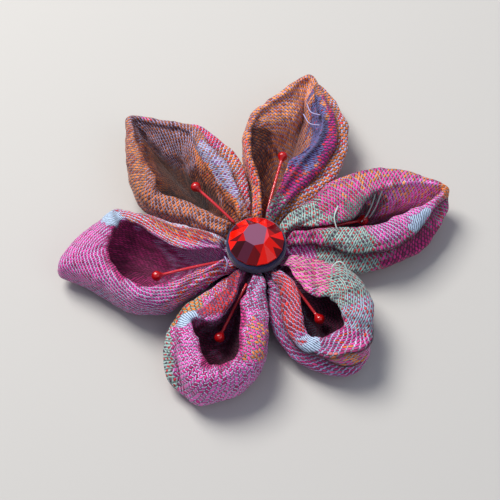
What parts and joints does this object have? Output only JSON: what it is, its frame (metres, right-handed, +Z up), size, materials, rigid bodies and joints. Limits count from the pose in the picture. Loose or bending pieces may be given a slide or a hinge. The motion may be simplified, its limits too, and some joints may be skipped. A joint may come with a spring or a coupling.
{
  "type": "cloth flower hairpin",
  "caption": "Cloth flower hairpin with folded open petals around a faceted red stone, bead stamens and a flat steel hair pin underneath.",
  "frame": {"origin": "on the flower's axis, at the underside of the pin's glue pad, on the surface that the flower lies on", "axes": "+Z up out of the flower's face, +X towards the right petal's side, +Y towards the top petal"},
  "size_m": [0.0832, 0.0786, 0.0127],
  "materials": {
    "orange_cloth": "woven cotton and silk, orange floats under a pale lavender grid",
    "pink_cloth": "woven cotton and silk, magenta and red floats under a pale grid",
    "mint_cloth": "woven cotton and silk, mint grey with red dots, pink towards the tip",
    "red_glass": "cut and polished, foiled at the back",
    "navy_felt": "dense felt",
    "red_bead": "glossy lacquer with a soft pearl sheen",
    "backing_felt": "thin stiff felt",
    "pin_steel": "brushed"
  },
  "bodies": {
    "root": {"petal_top": "orange_cloth", "petal_upper_left": "orange_cloth", "petal_left": "pink_cloth", "petal_lower_left": "pink_cloth", "petal_lower_right": "pink_cloth", "petal_right": "mint_cloth", "stone": "red_glass", "stone_seat": "navy_felt", "stamen_top": "red_bead", "stamen_right": "red_bead", "stamen_lower_right": "red_bead", "stamen_lower_left": "red_bead", "stamen_left": "red_bead", "stamen_upper_left": "red_bead", "backing_disc": "backing_felt", "hair_pin": "pin_steel"}
  },
  "joints": []
}
